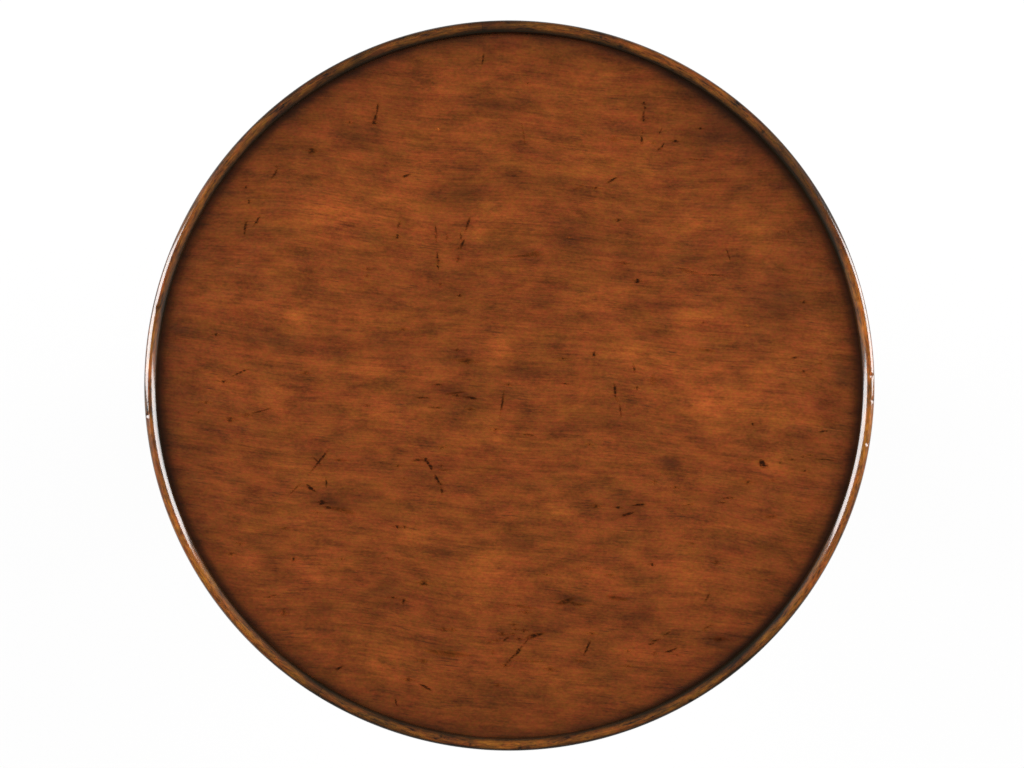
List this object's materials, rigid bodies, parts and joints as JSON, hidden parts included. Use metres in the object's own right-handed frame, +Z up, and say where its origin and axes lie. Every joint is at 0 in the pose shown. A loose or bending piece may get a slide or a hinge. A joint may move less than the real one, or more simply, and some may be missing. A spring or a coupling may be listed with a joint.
{
  "type": "tilt-top tea table",
  "caption": "Round tilt-top tea table: a rimmed wooden tray that tips up on a revolving birdcage, on a turned pillar with cabriole tripod legs.",
  "frame": {"origin": "on the floor, on the pillar's axis, at the middle of the foot circle", "axes": "+Z up; +X along the tray's grain, right in the picture; +Y towards the catch, up in the picture; the hinge is on the -Y side"},
  "size_m": [0.762, 0.762, 0.711],
  "materials": {
    "cherry_face": "satin, distressed",
    "cherry_rim": "satin, worn edges",
    "cherry_frame": "satin",
    "core_board": "raw",
    "brass": "aged",
    "iron": "blackened",
    "steel": "dull"
  },
  "bodies": {
    "pedestal": {"pillar": "cherry_frame", "collar": "cherry_frame", "wedge": "cherry_frame", "leg_1": "cherry_frame", "leg_2": "cherry_frame", "leg_3": "cherry_frame", "spider_plate": "iron", "spider_screws": "steel"},
    "cage": {"cage_top_plate": "cherry_frame", "cage_bottom_plate": "cherry_frame", "cage_baluster_1": "cherry_frame", "cage_baluster_2": "cherry_frame", "cage_baluster_3": "cherry_frame", "cage_baluster_4": "cherry_frame", "hinge_pin_left": "cherry_frame", "hinge_pin_right": "cherry_frame", "catch_keeper": "brass", "keeper_screws": "brass"},
    "top": {"tray_veneer": "cherry_face", "tray_core": "core_board", "underside_veneer": "cherry_frame", "rim_segment_1": "cherry_rim", "rim_segment_2": "cherry_rim", "rim_segment_3": "cherry_rim", "rim_segment_4": "cherry_rim", "rim_segment_5": "cherry_rim", "rim_dowels": "core_board", "batten_left": "cherry_frame", "batten_right": "cherry_frame", "batten_screws": "steel", "catch_case": "brass", "catch_spring": "brass", "catch_screws": "brass"},
    "catch": {"catch_bolt": "brass", "catch_knob": "brass"}
  },
  "joints": [
    {"name": "cage_spin", "type": "hinge", "parent": "pedestal", "child": "cage", "pos_m": [0, 0, 0.56], "axis": [0, 0, 1], "continuous": true},
    {"name": "top_tilt", "type": "hinge", "parent": "cage", "child": "top", "pos_m": [0, -0.088, 0.667], "axis": [1, 0, 0], "range_deg": [0, 90]},
    {"name": "catch_slide", "type": "slide", "parent": "top", "child": "catch", "axis": [0, -1, 0], "range_m": [0, 0.009]}
  ]
}
